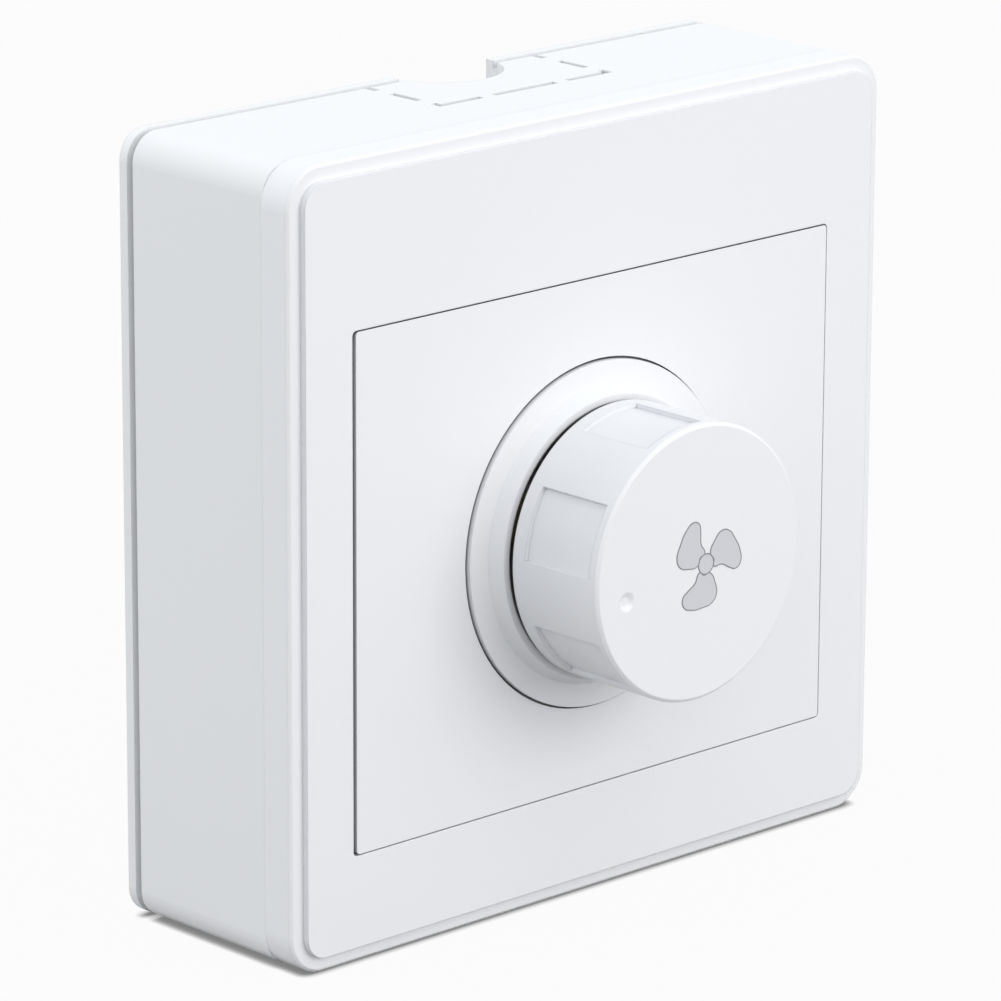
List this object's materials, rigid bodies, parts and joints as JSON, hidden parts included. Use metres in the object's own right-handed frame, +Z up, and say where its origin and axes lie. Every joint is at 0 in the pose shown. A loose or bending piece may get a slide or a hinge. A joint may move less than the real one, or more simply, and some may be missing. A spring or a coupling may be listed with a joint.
{
  "type": "fan speed control switch",
  "caption": "Surface-mounted rotary fan speed controller in a square white wall box with a ribbed knob.",
  "frame": {"origin": "centre of the rear face that lies on the wall, in the middle of the four wall slots", "axes": "+Y into the wall, so the knob points to -Y; +Z up; +X to the right seen from the front"},
  "size_m": [0.086, 0.0423, 0.086],
  "materials": {
    "box_plastic": "satin",
    "plate_plastic": "satin",
    "insert_plastic": "satin",
    "ring_plastic": "satin",
    "knob_plastic": "satin",
    "zinc_steel": "zinc plated",
    "spring_steel": "polished",
    "brass": "machined",
    "module_black": "matt",
    "can_grey": "matt",
    "board_green": "satin",
    "ferrite": "matt",
    "enamelled_wire": "lacquered",
    "film_yellow": "glossy",
    "fuse_brown": "satin",
    "resistor_body": "lacquered",
    "diac_blue": "glossy",
    "aluminium": "extruded",
    "terminal_grey": "satin"
  },
  "bodies": {
    "housing": {"base_plate": "box_plastic", "box_body": "box_plastic", "base_screws": "zinc_steel", "front_plate": "plate_plastic", "insert_panel": "insert_plastic", "bezel_ring": "ring_plastic", "control_can": "can_grey", "control_bushing": "brass", "control_washer": "zinc_steel", "control_nut": "brass", "control_terminals": "brass", "mounting_frame": "zinc_steel", "frame_screws": "zinc_steel", "module_housing": "module_black", "module_screws": "zinc_steel", "circuit_board": "board_green", "choke_core": "ferrite", "choke_winding": "enamelled_wire", "film_capacitor": "film_yellow", "fuse": "fuse_brown", "resistors": "resistor_body", "diac": "diac_blue", "heat_sink": "aluminium", "triac": "module_black", "terminal_block": "terminal_grey", "terminal_leads": "brass", "terminal_clamps": "brass", "terminal_screws": "zinc_steel"},
    "knob_body": {"knob": "knob_plastic", "knob_spring_clip": "spring_steel", "control_shaft": "brass", "control_wiper": "brass"}
  },
  "joints": [
    {"name": "knob_turn", "type": "hinge", "parent": "housing", "child": "knob_body", "pos_m": [0, -0.03, -0.003], "axis": [0, -1, 0], "range_deg": [-237, 33]}
  ]
}
